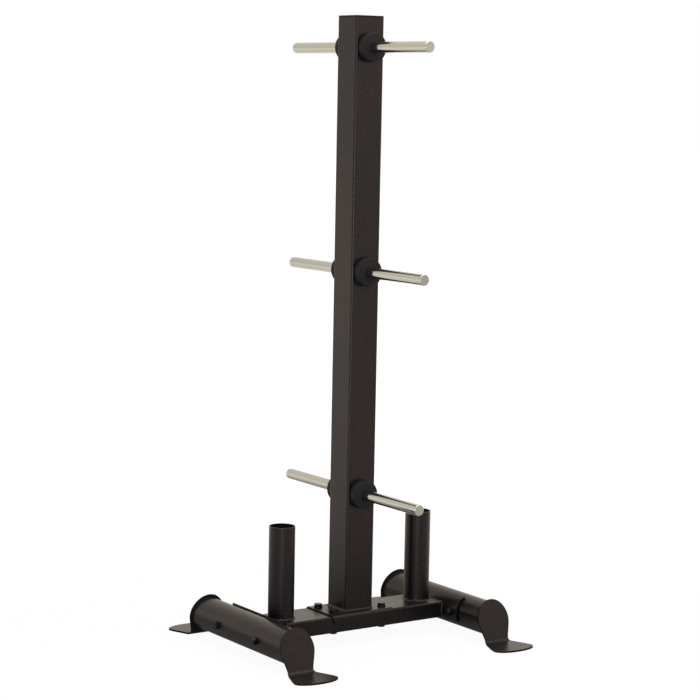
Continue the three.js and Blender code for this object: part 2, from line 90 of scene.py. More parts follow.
camera_data = bpy.data.cameras.new("picture_camera")
camera_data.lens = FOCAL_LENGTH
camera_data.sensor_width = SENSOR_WIDTH
camera = linked("picture_camera", camera_data)
camera.matrix_world = Matrix.Translation(CAMERA_PLACE) @ Matrix(camera_axes()).transposed().to_4x4()
bpy.context.scene.camera = camera
print("camera at", [round(v, 3) for v in CAMERA_PLACE])

# %% [markdown]
# ## Helpers for modelling by operators
# An operator works on whatever is selected, and the loaded nodes come in selected, so each step starts from
# an empty selection. Inside edit mode, faces and edges are picked by a test on their place or direction.

# %% Helpers for modelling by operators
def begin():
    """Clears the selection before a primitive is added."""
    if bpy.context.mode != "OBJECT":
        bpy.ops.object.mode_set(mode="OBJECT")
    bpy.ops.object.select_all(action="DESELECT")


def only(piece):
    """Selects one object and makes it active."""
    begin()
    piece.select_set(True)
    bpy.context.view_layer.objects.active = piece


def added(name):
    """Names the new primitive."""
    piece = bpy.context.object
    piece.name = name
    piece.data.name = name
    only(piece)
    bpy.ops.object.transform_apply(location=True, rotation=True, scale=True)
    return piece


def whole():
    """In edit mode, selects the whole mesh."""
    bpy.ops.mesh.select_all(action="SELECT")


def edit(piece):
    """Enters edit mode with the whole mesh selected."""
    only(piece)
    bpy.ops.object.mode_set(mode="EDIT")
    whole()


def done():
    bpy.ops.object.mode_set(mode="OBJECT")


def pick(piece, kind, test):
    """In edit mode, selects the vertices, edges or faces that pass a test."""
    bpy.ops.mesh.select_mode(type=kind)
    bpy.ops.mesh.select_all(action="DESELECT")
    mesh = bmesh.from_edit_mesh(piece.data)
    items = {"VERT": mesh.verts, "EDGE": mesh.edges, "FACE": mesh.faces}[kind]
    for item in [item for item in items if test(item)]:
        item.select_set(True)
    bmesh.update_edit_mesh(piece.data)


def drop_faces(piece, test):
    """In edit mode, deletes the faces that pass a test."""
    pick(piece, "FACE", test)
    bpy.ops.mesh.delete(type="FACE")


def round_edges(piece, test, radius, segments, **settings):
    """In edit mode, bevels the edges that pass a test."""
    pick(piece, "EDGE", test)
    bpy.ops.mesh.bevel(offset=radius, segments=segments, affect="EDGES", **settings)


def finish_with(piece, kind, **settings):
    """Adds a modifier, sets it and applies it."""
    only(piece)
    modifier = piece.modifiers.new(kind.lower(), kind)
    for key, value in settings.items():
        setattr(modifier, key, value)
    bpy.ops.object.modifier_apply(modifier=modifier.name)


SLIVER = 0.02 * MM  # shorter edges come from cuts, and are merged


def soften(piece, width, segments=2, angle=40):
    """Rounds every edge that is sharper than an angle, and merges the slivers that cuts and rounds leave."""
    finish_with(
        piece, "BEVEL", width=width, segments=segments, limit_method="ANGLE", angle_limit=angle * DEG,
    )
    edit(piece)
    bpy.ops.mesh.remove_doubles(threshold=SLIVER)
    whole()
    bpy.ops.mesh.dissolve_degenerate(threshold=SLIVER)
    done()


def smooth(piece, angle=32):
    """Shades round parts smooth and keeps flat faces flat beside their rounded edges."""
    only(piece)
    bpy.ops.object.shade_smooth_by_angle(angle=angle * DEG)
    finish_with(piece, "WEIGHTED_NORMAL", keep_sharp=True)


def carve(piece, tool, operation="DIFFERENCE"):
    """Cuts, joins or keeps what a tool solid covers, and deletes the tool."""
    finish_with(piece, "BOOLEAN", object=tool, operation=operation, solver="EXACT")
    bpy.data.objects.remove(tool)


def twin(piece, name, move=(0, 0, 0), turn_z=0):
    """A copy with its own mesh, turned about +Z and then moved, both written into the mesh."""
    copy = piece.copy()
    copy.data = piece.data.copy()
    copy.name = name
    copy.data.name = name
    bpy.context.scene.collection.objects.link(copy)
    copy.data.transform(Matrix.Translation(move) @ Matrix.Rotation(turn_z, 4, "Z"))
    return copy


def middle(edge):
    return (edge.verts[0].co + edge.verts[1].co) / 2


PARALLEL = 0.99


def runs_along(edge, axis):
    """Whether an edge runs along an axis, either way."""
    step = (edge.verts[1].co - edge.verts[0].co).normalized()
    return abs(getattr(step, axis)) > PARALLEL


def faces_along(face, axis):
    """Whether a face looks along an axis, either way."""
    return abs(getattr(face.normal, axis)) > PARALLEL


def rod(name, place, radius, length, sides, fill="NGON", lying=False):
    """A cylinder about its middle, upright or lying along Y."""
    begin()
    bpy.ops.mesh.primitive_cylinder_add(
        vertices=sides, radius=radius, depth=length, end_fill_type=fill,
        location=place, rotation=(QUARTER_TURN if lying else 0, 0, 0),
    )
    return added(name)


# %% [markdown]
# ## Finishes that more than one material shares
# Powder coat, black rubber and chromed bar each have a fine surface that only shows as a slight break in
# their reflections. A grain group turns noise in the object's own metres into a height for a Bump node and
# a mask that varies roughness and colour. It is built once and placed in each material with its own scale.

# %% Grain group
def new_group(name, inputs, outputs):
    """An empty node group with its input and output nodes. Each socket is given as (label, kind)."""
    group = bpy.data.node_groups.new(name, "ShaderNodeTree")
    for direction, sockets in (("INPUT", inputs), ("OUTPUT", outputs)):
        for label, kind in sockets:
            group.interface.new_socket(label, in_out=direction, socket_type=kind)
    return group, group.nodes.new("NodeGroupInput"), group.nodes.new("NodeGroupOutput")


def noise(tree, detail, roughness):
    node = tree.nodes.new("ShaderNodeTexNoise")
    node.inputs["Detail"].default_value = detail
    node.inputs["Roughness"].default_value = roughness
    return node


grain_group, grain_in, grain_out = new_group(
    "surface_grain",
    [("Vector", "NodeSocketVector"), ("Fine Scale", "NodeSocketFloat"), ("Broad Scale", "NodeSocketFloat")],
    [("Height", "NodeSocketFloat"), ("Mottle", "NodeSocketFloat")],
)
fine = noise(grain_group, detail=3, roughness=0.6)
broad = noise(grain_group, detail=4, roughness=0.55)
for source, scale, result in ((fine, "Fine Scale", "Height"), (broad, "Broad Scale", "Mottle")):
    grain_group.links.new(grain_in.outputs["Vector"], source.inputs["Vector"])
    grain_group.links.new(grain_in.outputs[scale], source.inputs["Scale"])
    grain_group.links.new(source.outputs["Fac"], grain_out.inputs[result])
print("grain group has", len(grain_group.nodes), "nodes")


# %% Helpers for materials
def new_material(name):
    material = bpy.data.materials.new(name)
    material.use_nodes = True
    tree = material.node_tree
    return material, tree, tree.nodes["Principled BSDF"]


def place_grain(tree, fine_scale, broad_scale, stretch=(1, 1, 1)):
    """The grain group on the object's own coordinates, stretched where the finish has a direction."""
    coordinates = tree.nodes.new("ShaderNodeTexCoord")
    mapping = tree.nodes.new("ShaderNodeMapping")
    mapping.inputs["Scale"].default_value = stretch
    tree.links.new(coordinates.outputs["Object"], mapping.inputs["Vector"])
    grain = tree.nodes.new("ShaderNodeGroup")
    grain.node_tree = grain_group
    grain.inputs["Fine Scale"].default_value = fine_scale
    grain.inputs["Broad Scale"].default_value = broad_scale
    tree.links.new(mapping.outputs["Vector"], grain.inputs["Vector"])
    return grain


NOISE_SPAN = (0.3, 0.7)  # noise seldom leaves this part of its range


def map_range(tree, value, span, results):
    """Runs from one result to another while a value crosses a span."""
    node = tree.nodes.new("ShaderNodeMapRange")
    for label, number in zip(("From Min", "From Max", "To Min", "To Max"), (*span, *results)):
        node.inputs[label].default_value = number
    tree.links.new(value, node.inputs["Value"])
    return node


def vary(tree, mask, low, high, target):
    """Runs a shader value between two numbers by a mask."""
    tree.links.new(map_range(tree, mask, NOISE_SPAN, (low, high)).outputs["Result"], target)


def vary_colour(tree, mask, low, high, target):
    """Runs a shader colour between two colours by a mask."""
    ramp = tree.nodes.new("ShaderNodeValToRGB")
    for stop, position, colour in zip(ramp.color_ramp.elements, NOISE_SPAN, (low, high)):
        stop.position = position
        stop.color = (*colour, 1)
    tree.links.new(mask, ramp.inputs["Fac"])
    tree.links.new(ramp.outputs["Color"], target)


def raise_bump(tree, height, shader, strength, distance):
    bump = tree.nodes.new("ShaderNodeBump")
    bump.inputs["Strength"].default_value = strength
    bump.inputs["Distance"].default_value = distance
    tree.links.new(height, bump.inputs["Height"])
    tree.links.new(bump.outputs["Normal"], shader.inputs["Normal"])


# %% [markdown]
# ## Black powder coat
# The frame is sprayed with a warm black powder that melts into a skin with a slight orange peel. It is
# nearly black when it faces the light, and it turns grey where it is seen at a low angle and mirrors the
# pale studio. A plain dielectric with a medium roughness does that by itself, so only the peel and a faint
# mottle of colour, roughness and gloss are added. A slight tint keeps what it mirrors as warm as the coat.

# %% Black powder coat
COAT_DARK = (0.0048, 0.0041, 0.0039)
COAT_LIGHT = (0.0064, 0.0055, 0.0052)
COAT_TINT = (1, 0.80, 0.80, 1)


def powder_coat(name, low, high, roughness, specular):
    material, tree, shader = new_material(name)
    grain = place_grain(tree, 700, 230)
    mottle = grain.outputs["Mottle"]
    vary_colour(tree, mottle, low, high, shader.inputs["Base Color"])
    vary(tree, mottle, roughness - 0.04, roughness + 0.04, shader.inputs["Roughness"])
    vary(tree, mottle, 0.8 * specular, 1.2 * specular, shader.inputs["Specular IOR Level"])
    shader.inputs["Specular Tint"].default_value = COAT_TINT
    raise_bump(tree, grain.outputs["Height"], shader, strength=0.25, distance=0.4 * MM)
    return material


coat = powder_coat("black_powder_coat", COAT_DARK, COAT_LIGHT, roughness=0.31, specular=0.30)
print("made", coat.name)

# %% [markdown]
# ## Chromed bar
# The pegs are ground bar with a bright chrome skin. Plates slide on and off along them, so the finest marks
# run lengthwise. The grain is stretched along Y for that, and the colour stays a touch green-grey, as
# chrome is. The end faces are turned, not ground, so they are a little rougher, and their darker colour is
# painted shade. The same maker serves for plain steel later on.

# %% Chromed bar
def bright_metal(name, low, high, rough, place_marks, bump):
    material, tree, shader = new_material(name)
    grain = place_marks(tree)
    vary_colour(tree, grain.outputs["Mottle"], low, high, shader.inputs["Base Color"])
    vary(tree, grain.outputs["Height"], *rough, shader.inputs["Roughness"])
    shader.inputs["Metallic"].default_value = 1.0
    raise_bump(tree, grain.outputs["Height"], shader, bump, distance=0.2 * MM)
    return material


def along_the_bar(tree):
    return place_grain(tree, 260, 14, stretch=(1, 0.06, 1))


def all_ways(tree):
    return place_grain(tree, 900, 40)


chrome = bright_metal(
    "peg_chrome", (0.435, 0.445, 0.41), (0.485, 0.497, 0.455), (0.10, 0.17), along_the_bar, bump=0.06,
)
# The end faces' darker colour is painted shade.
turned_shaded_chrome = bright_metal(
    "turned_peg_end_painted_shade", (0.315, 0.325, 0.296), (0.351, 0.363, 0.328), (0.24, 0.32), all_ways, bump=0.06,
)
print("made", chrome.name, turned_shaded_chrome.name)

# %% [markdown]
# ## Black rubber, black plastic and black fasteners
# The bumpers are moulded rubber, dull with a fine tooth. The cap is a dull moulded plastic. Bolts, nuts and
# washers are blackened steel, a little glossier than the coat around them. Three more finishes belong to
# the frame: the coat over the weld beads, a darker and duller coat on sawn plate edges, which is partly the
# thin coat of a sawn edge and partly painted shade for the gaps beside them, and a near-black dull finish in
# the bar holders' bores, which is painted shade for the inside of the tube. The dull ones share one maker,
# because they differ only in colour, roughness and tooth. A face gets its second finish by its place or its
# normal, after the piece has its first.

# %% Rubber, plastic and fasteners
DULL_TINT = (1, 0.84, 0.86, 1)


def dull_black(name, low, high, rough, fine_scale, bump, specular):
    material, tree, shader = new_material(name)
    grain = place_grain(tree, fine_scale, 18)
    vary_colour(tree, grain.outputs["Mottle"], low, high, shader.inputs["Base Color"])
    vary(tree, grain.outputs["Mottle"], *rough, shader.inputs["Roughness"])
    shader.inputs["Specular IOR Level"].default_value = specular
    shader.inputs["Specular Tint"].default_value = DULL_TINT
    raise_bump(tree, grain.outputs["Height"], shader, bump, distance=0.5 * MM)
    return material


rubber = dull_black(
    "bumper_rubber", (0.0156, 0.0138, 0.0142), (0.0210, 0.0186, 0.0191), (0.52, 0.64),
    fine_scale=1200, bump=0.35, specular=0.13,
)
plastic = dull_black(
    "cap_plastic", (0.005, 0.0046, 0.0044), (0.007, 0.0066, 0.0063), (0.42, 0.52),
    fine_scale=1500, bump=0.2, specular=0.16,
)
fastener = dull_black(
    "blackened_steel", (0.0045, 0.0038, 0.0040), (0.0075, 0.0064, 0.0066), (0.30, 0.38),
    fine_scale=500, bump=0.15, specular=0.30,
)
# Near-black and dull: painted shade for the inside of the bar holders.
shaded_bore = dull_black(
    "bore_painted_shade", (0.003, 0.0026, 0.0026), (0.005, 0.0044, 0.0044), (0.6, 0.7),
    fine_scale=300, bump=0.3, specular=0.08,
)
bead_coat = powder_coat("coated_weld", COAT_DARK, COAT_LIGHT, roughness=0.36, specular=0.28)
# Darker and duller than the coat: a thinner coat on sawn edges, and painted shade for the gaps beside them.
cut_edge_coat_and_shade = powder_coat(
    "cut_edge_coat_and_painted_shade", (0.0040, 0.0034, 0.0033), (0.0062, 0.0052, 0.0050), roughness=0.60, specular=0.10,
)
print("made", rubber.name, plastic.name, fastener.name, bead_coat.name, cut_edge_coat_and_shade.name)


def settle(piece, material, slot, *nodes):
    """Gives a finished piece its material, its body and the nodes that it stands for."""
    piece.data.materials.clear()
    piece.data.materials.append(material)
    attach(piece, "root")
    if nodes:
        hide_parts(*nodes)
    print(piece.name, "has", len(piece.data.polygons), "faces")


def settle_coated(piece, *nodes):
    settle(piece, coat, "black_coat", *nodes)


STEEP = 0.7  # about the cosine of 45 degrees, which tells an edge of a plate from its face


def second_finish(piece, material, chosen):
    """Gives some faces of a settled piece a second material. Chosen holds one yes or no for each face."""
    piece.data.materials.append(material)
    for face, wanted in zip(piece.data.polygons, chosen):
        if wanted:
            face.material_index = 1


# %% [markdown]
# ## The column
# A square tube with rounded corners. Its section could be drawn as a curve and extruded, but a cube shows
# each step: it is stretched to the tube's outside, its four upright edges are bevelled, and the ends are
# opened. Solidify then gives it a wall that grows inwards, so the outside keeps its exact size.

# %% Column tube
cap_low, cap_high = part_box("column_cap")
tube_low, tube_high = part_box("column_tube")
COLUMN_SIDE = cap_high.x - cap_low.x
COLUMN_CORNER = 5 * MM
COLUMN_WALL = 3 * MM
CORNER_SEGMENTS = 8


def square_box(name, side_x, side_y, low, high):
    begin()
    place = (0, 0, (low + high) / 2)
    bpy.ops.mesh.primitive_cube_add(size=1, location=place, scale=(side_x, side_y, high - low))
    return added(name)


column = square_box("column", COLUMN_SIDE, COLUMN_SIDE, tube_low.z, tube_high.z)
edit(column)
round_edges(column, lambda edge: runs_along(edge, "z"), COLUMN_CORNER, CORNER_SEGMENTS)
drop_faces(column, lambda face: faces_along(face, "z"))
done()
finish_with(column, "SOLIDIFY", thickness=COLUMN_WALL, offset=-1)
smooth(column)
settle_coated(column, "column_tube")

# %% [markdown]
# ## The cap
# A moulded plug closes the column: a lip that covers the tube's edge and a hollow skirt that goes inside.
# The lip starts as a thin cube with its edges rounded. The skirt is inset from its underside and extruded
# down, and a second inset is pushed back up to hollow it. Two boxes could overlap instead, but this way lip
# and skirt are one closed mesh, as the real ones are one moulding.

# %% Column cap
CAP_ROUND = 1.2 * MM
CAP_SKIRT_GAP = 0.3 * MM
CAP_SKIRT_WALL = 2.2 * MM
cap_rim = cap_high.z - CAP_ROUND
cap = square_box("cap", COLUMN_SIDE, COLUMN_SIDE, tube_high.z + CAP_SKIRT_GAP, cap_high.z)
edit(cap)
round_edges(cap, lambda edge: runs_along(edge, "z"), COLUMN_CORNER, CORNER_SEGMENTS)
round_edges(cap, lambda edge: min(vert.co.z for vert in edge.verts) > cap_rim, CAP_ROUND, 4)
pick(cap, "FACE", lambda face: face.normal.z < -PARALLEL)
bpy.ops.mesh.inset(thickness=COLUMN_WALL + CAP_SKIRT_GAP)
skirt_depth = tube_high.z - cap_low.z
bpy.ops.mesh.extrude_region_move(TRANSFORM_OT_translate={"value": (0, 0, -skirt_depth - CAP_SKIRT_GAP)})
bpy.ops.mesh.inset(thickness=CAP_SKIRT_WALL)
bpy.ops.mesh.extrude_region_move(TRANSFORM_OT_translate={"value": (0, 0, skirt_depth)})
done()
smooth(cap)
settle(cap, plastic, "black_plastic", "column_cap")

# %% [markdown]
# ## The crossbar
# A wide, flat rectangular tube between the feet. Its long edges are rounded like the column's, and each end
# is coped: a cylinder around the foot's axis cuts it to sit against the curved end saddle. A Boolean suits
# that, because the cut runs through all four walls along a curve that no bevel or extrusion would follow.

# %% Crossbar
bar_low, bar_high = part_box("crossbar_tube")
foot_low, foot_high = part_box("foot_tube_right")
FOOT_X = (foot_low.x + foot_high.x) / 2
FOOT_RADIUS = 39 * MM
AXIS_HEIGHT = (foot_low.z + foot_high.z) / 2
SEAT_GAP = 0.3 * MM
END_SADDLE_THICKNESS = 5 * MM
BAR_CORNER = 4 * MM
BAR_WALL = 3 * MM
SADDLE_SIDES = 180
SIDES = {"left": -1, "right": 1}
ENDS = {"front": 0, "back": HALF_TURN}


def foot_rod(name, x, length, radius, sides, fill="NGON"):
    """A cylinder along Y at the height of the feet."""
    return rod(name, (x, 0, AXIS_HEIGHT), radius, length, sides, fill, lying=True)


bar_depth = bar_high.y - bar_low.y
bar = square_box("crossbar", 2 * FOOT_X, bar_depth, bar_low.z, bar_high.z)
edit(bar)
round_edges(bar, lambda edge: runs_along(edge, "x"), BAR_CORNER, CORNER_SEGMENTS)
drop_faces(bar, lambda face: faces_along(face, "x"))
done()
finish_with(bar, "SOLIDIFY", thickness=BAR_WALL, offset=-1)
cope_radius = FOOT_RADIUS + END_SADDLE_THICKNESS + 2 * SEAT_GAP
for sign in SIDES.values():
    carve(bar, foot_rod("cope", sign * FOOT_X, 2 * bar_depth, cope_radius, SADDLE_SIDES))
smooth(bar)
settle_coated(bar, "crossbar_tube")

# %% [markdown]
# ## The column saddle
# The column is welded to a plate that is bent down over the front and back of the crossbar. The outside is
# a box without its underside and ends, its two long upper edges are bevelled to the bend's radius, and each
# flange's free edge is pulled in so that its ends slope. Solidify turns the skin into plate. Because the
# thickness comes last, it is the same all round both bends, as in bent plate.

# %% Column saddle
saddle_low, saddle_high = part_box("column_saddle")
SADDLE_THICKNESS = 3 * MM
SADDLE_TAPER = 6 * MM
saddle_bend = BAR_CORNER + SEAT_GAP + SADDLE_THICKNESS
saddle_x = saddle_high.x - saddle_low.x
saddle_y = saddle_high.y - saddle_low.y
saddle_hem = saddle_low.z + SADDLE_THICKNESS
saddle = square_box("saddle_plate", saddle_x, saddle_y, saddle_low.z, saddle_high.z)
edit(saddle)
drop_faces(saddle, lambda face: face.normal.z < -PARALLEL or faces_along(face, "x"))
round_edges(
    saddle, lambda edge: runs_along(edge, "x") and middle(edge).z > saddle_hem, saddle_bend, CORNER_SEGMENTS,
)
for sign in SIDES.values():
    pick(saddle, "VERT", lambda vert: vert.co.z < saddle_hem and vert.co.x * sign > 0)
    bpy.ops.transform.translate(value=(-sign * SADDLE_TAPER, 0, 0))
done()
finish_with(saddle, "SOLIDIFY", thickness=SADDLE_THICKNESS, offset=-1, use_even_offset=True)
soften(saddle, 0.5 * MM)
smooth(saddle)
settle_coated(saddle, "column_saddle")
# The sloping end edges get the darker edge coat, which also paints in the shade beside them.
second_finish(saddle, cut_edge_coat_and_shade, [abs(face.normal.x) > STEEP for face in saddle.data.polygons])

# %% [markdown]
# ## The end saddles
# Each end of the crossbar is welded to a plate rolled to the foot tube's radius. It is a stretch of a wide
# cylinder, from just below the crossbar to near the foot tube's crown: the other faces are deleted, and
# Solidify thickens the rest outwards. A flat strip could be bent as well, but the cylinder has the right
# radius and centre from the start.

# %% End saddles
END_SADDLE_RISE = 64 * DEG
end_low, end_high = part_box("end_saddle_left")
saddle_inside = FOOT_RADIUS + SEAT_GAP
saddle_outside = saddle_inside + END_SADDLE_THICKNESS
end_saddle_drop = math.asin((AXIS_HEIGHT - end_low.z) / saddle_outside)


def off_the_plate(face):
    """Whether a face of the whole cylinder lies outside the plate's stretch."""
    place = face.calc_center_median()
    angle = math.atan2(place.z - AXIS_HEIGHT, place.x + FOOT_X)
    return not -end_saddle_drop < angle < END_SADDLE_RISE


end_saddle = foot_rod(
    "end_saddle_plate_left", -FOOT_X, end_high.y - end_low.y, saddle_inside, SADDLE_SIDES, "NOTHING",
)
edit(end_saddle)
drop_faces(end_saddle, off_the_plate)
done()
finish_with(end_saddle, "SOLIDIFY", thickness=END_SADDLE_THICKNESS, offset=1)
soften(end_saddle, 0.6 * MM)
smooth(end_saddle)
right_end_saddle = twin(end_saddle, "end_saddle_plate_right", turn_z=HALF_TURN)
# The plate's edges get the darker edge coat, which also paints in the dark gap between plate and tube.
sawn_and_shaded = []
for face in end_saddle.data.polygons:
    radial = Vector((face.center.x + FOOT_X, 0, face.center.z - AXIS_HEIGHT)).normalized()
    sawn_and_shaded.append(abs(face.normal.dot(radial)) < STEEP)
settle_coated(end_saddle, "end_saddle_left")
settle_coated(right_end_saddle, "end_saddle_right")
for piece in (end_saddle, right_end_saddle):
    second_finish(piece, cut_edge_coat_and_shade, sawn_and_shaded)

# %% [markdown]
# ## The foot tubes
# Wide round tubes with a mitre at each end, where the end plates lean outwards by eighteen degrees. The
# wall is made while the ends are still square, and then both skins are bisected by the plate's plane and
# bridged. On a slanting end, Solidify would tilt the rim out of that plane.

# %% Foot tubes
plate_low, plate_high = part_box("end_plate_front_left")
TUBE_SIDES = 144
FOOT_WALL = 3 * MM
PLATE_LEAN = 18 * DEG
PLATE_THICKNESS = 4.5 * MM
PLATE_REACH = 199.6 * MM
plate_outward = Vector((0, -math.cos(PLATE_LEAN), math.sin(PLATE_LEAN)))
plate_face_point = Vector((0, -PLATE_REACH, AXIS_HEIGHT))


def foot_tube(name, x):
    tube = foot_rod(name, x, foot_high.y - foot_low.y + FOOT_RADIUS, FOOT_RADIUS, TUBE_SIDES, "NOTHING")
    finish_with(tube, "SOLIDIFY", thickness=FOOT_WALL, offset=-1)
    edit(tube)
    for turn in ENDS.values():
        turned = Matrix.Rotation(turn, 3, "Z")
        seat = plate_face_point - plate_outward * (PLATE_THICKNESS + SEAT_GAP)
        whole()
        bpy.ops.mesh.bisect(plane_co=turned @ seat, plane_no=turned @ plate_outward, clear_outer=True)
        pick(tube, "EDGE", lambda edge: edge.is_boundary)
        bpy.ops.mesh.bridge_edge_loops()
    done()
    smooth(tube)
    return tube


for side, sign in SIDES.items():
    settle_coated(foot_tube(f"foot_{side}", sign * FOOT_X), f"foot_tube_{side}")

# %% [markdown]
# ## The end plates
# The most telling piece of this stand. A plate is cut to one outline: a disc that covers the tube's end, a
# neck, and a tab that flares like a fish's tail. It is then folded at the neck so that the tab lies on the
# floor. A 2D Bezier curve gives the flat blank its outline and its rounded rim in one step, the bend's zone
# gets extra rows of vertices, and Simple Deform folds that zone alone, which keeps the length of the
# plate's middle layer.

# %% End plates: sizes of the flat blank
PLATE_HALF_WIDTH = FOOT_RADIUS + 5 * MM
PLATE_RISE = FOOT_RADIUS / math.cos(PLATE_LEAN) + 8.3 * MM  # from the tube's axis to the disc's top
NECK_HALF_WIDTH = 33 * MM
NECK_PAST_BEND = 1.1 * MM
BEND_RADIUS = 9 * MM
TAB_REACH = -plate_low.y
TAB_HALF_WIDTH = (plate_high.x - plate_low.x) / 2
TAB_ROUND = 25 * MM
RIM_ROUND = 0.9 * MM
SHOULDER_SHARES = (0.25, 0.15)  # how far the edge keeps its direction at both ends of the shoulder
FLARE_SHARES = (0.15, 0.2)  # the same for the flare
ARC_HANDLE = 0.5523  # length of a handle that draws a quarter circle of radius one
fold = QUARTER_TURN - PLATE_LEAN
layer_radius = BEND_RADIUS + PLATE_THICKNESS / 2
bend_setback = layer_radius * math.tan(fold / 2)
layer_start = plate_face_point - plate_outward * PLATE_THICKNESS / 2
plate_down = Vector((0, -math.sin(PLATE_LEAN), -math.cos(PLATE_LEAN)))
to_floor = (layer_start.z - PLATE_THICKNESS / 2) / math.cos(PLATE_LEAN)
bend_start = to_floor - bend_setback
bend_length = layer_radius * fold
tab_start = -layer_start.y + math.sin(PLATE_LEAN) * to_floor + bend_setback
tab_tip = bend_length + TAB_REACH - tab_start
tab_wide = tab_tip - TAB_ROUND
print("bend starts", round(bend_start / MM, 1), "mm below the tube's axis, over", round(bend_length / MM, 1))


# %% End plates: outline
def outline_points():
    """One side of the blank from its top to the tab's tip, with the bend's start at zero. Each point has
    three pairs (half width, distance past the bend's start): its place and its two handles."""
    neck = NECK_PAST_BEND
    disc = -bend_start
    body = neck - disc
    flare = tab_wide - neck
    top = disc - PLATE_RISE
    upright_handles = (
        (PLATE_HALF_WIDTH, disc, -PLATE_RISE * ARC_HANDLE, body * SHOULDER_SHARES[0]),
        (NECK_HALF_WIDTH, neck, -body * SHOULDER_SHARES[1], flare * FLARE_SHARES[0]),
        (TAB_HALF_WIDTH, tab_wide, -flare * FLARE_SHARES[1], TAB_ROUND * ARC_HANDLE),
    )
    return [
        ((0, top), (-PLATE_HALF_WIDTH * ARC_HANDLE, top), (PLATE_HALF_WIDTH * ARC_HANDLE, top)),
        *(((wide, y), (wide, y + before), (wide, y + after)) for wide, y, before, after in upright_handles),
        ((0, tab_tip), (TAB_HALF_WIDTH * ARC_HANDLE, tab_tip), (-TAB_HALF_WIDTH * ARC_HANDLE, tab_tip)),
    ]


def flat_blank(name):
    begin()
    bpy.ops.curve.primitive_bezier_circle_add(radius=1)
    blank = bpy.context.object
    blank.name = name
    bpy.ops.object.mode_set(mode="EDIT")
    bpy.ops.curve.subdivide(number_cuts=1)
    bpy.ops.object.mode_set(mode="OBJECT")
    right_side = outline_points()
    left_side = [
        tuple((-x, y) for x, y in (place, after, before)) for place, before, after in right_side[3:0:-1]
    ]
    for point, (place, before, after) in zip(blank.data.splines[0].bezier_points, right_side + left_side):
        point.handle_left_type = point.handle_right_type = "FREE"
        point.co = (*place, 0)
        point.handle_left = (*before, 0)
        point.handle_right = (*after, 0)
    blank.data.dimensions = "2D"
    blank.data.fill_mode = "BOTH"
    blank.data.resolution_u = 24
    blank.data.extrude = PLATE_THICKNESS / 2 - RIM_ROUND
    blank.data.bevel_depth = RIM_ROUND
    blank.data.bevel_resolution = 3
    blank.data.offset = -RIM_ROUND
    bpy.ops.object.convert(target="MESH")
    return added(name)


# %% End plates: fold the blank
BEND_ROWS = 12
CLOSED_SEAM = 0.01 * MM


def end_plate(name):
    plate = flat_blank(name)
    edit(plate)
    bpy.ops.mesh.remove_doubles(threshold=CLOSED_SEAM)
    for row in range(BEND_ROWS + 1):
        whole()
        bpy.ops.mesh.bisect(plane_co=(0, bend_length * row / BEND_ROWS, 0), plane_no=(0, 1, 0))
    whole()
    bpy.ops.mesh.normals_make_consistent(inside=False)
    done()
    plate.data.transform(Matrix.Rotation(QUARTER_TURN, 4, "X"))
    heights = [vertex.co.z for vertex in plate.data.vertices]
    span = max(heights) - min(heights)
    zone = [(z - min(heights)) / span for z in (0, bend_length)]
    finish_with(plate, "SIMPLE_DEFORM", deform_method="BEND", deform_axis="X", angle=fold, limits=zone)
    plate.data.transform(Matrix.Rotation(HALF_TURN - PLATE_LEAN, 4, "X"))
    plate.data.transform(Matrix.Translation(layer_start + plate_down * bend_start))
    smooth(plate)
    return plate


master_plate = end_plate("end_plate_master")
bend_top = layer_radius * (1 - math.cos(fold)) + PLATE_THICKNESS
# The plate's edges get the darker edge coat, which also paints in shade along them.
shaded_rim = []
for face in master_plate.data.polygons:
    if face.center.z > bend_top:
        shaded_rim.append(abs(face.normal.dot(plate_outward)) < STEEP)
    elif face.center.z > PLATE_THICKNESS:
        shaded_rim.append(abs(face.normal.x) > STEEP)
    else:
        shaded_rim.append(abs(face.normal.z) < STEEP)
for side, sign in SIDES.items():
    for end, turn in ENDS.items():
        plate = twin(master_plate, f"plate_{end}_{side}", move=(sign * FOOT_X, 0, 0), turn_z=turn)
        settle_coated(plate, f"end_plate_{end}_{side}")
        second_finish(plate, cut_edge_coat_and_shade, shaded_rim)
bpy.data.objects.remove(master_plate)

# %% [markdown]
# ## The bar holders
# Two open tubes stand on the crossbar. A cylinder without ends gets its wall from Solidify, and its rims
# are softened, because sawn tube is deburred before it is coated. One cylinder could be cut out of another,
# but Solidify leaves plain rings of faces, which take the soft rims without slivers.

# %% Bar holders
HOLDER_RADIUS = 30.15 * MM
HOLDER_WALL = 2.5 * MM
HOLDER_SIDES = 120
bore_reach = HOLDER_RADIUS - 0.9 * HOLDER_WALL
for side in SIDES:
    holder_low, holder_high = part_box(f"bar_holder_{side}")
    holder_x = (holder_low.x + holder_high.x) / 2
    holder_place = (holder_x, 0, (holder_low.z + holder_high.z) / 2)
    length = holder_high.z - holder_low.z
    holder = rod(f"holder_{side}", holder_place, HOLDER_RADIUS, length, HOLDER_SIDES, "NOTHING")
    finish_with(holder, "SOLIDIFY", thickness=HOLDER_WALL, offset=-1)
    soften(holder, 0.6 * MM)
    smooth(holder)
    settle_coated(holder, f"bar_holder_{side}")
    # The inside gets the near-black bore finish, which is painted shade.
    second_finish(holder, shaded_bore, [
        math.hypot(face.center.x - holder_x, face.center.y) < bore_reach for face in holder.data.polygons
    ])

# %% [markdown]
# ## The pegs
# Chromed bar with a turned chamfer. One peg is a cylinder whose outer rim is bevelled, and the others are
# copies at the three heights, front and back. Half a section could be spun about the axis, as on a lathe,
# but the bevel gives the same chamfer in one step.

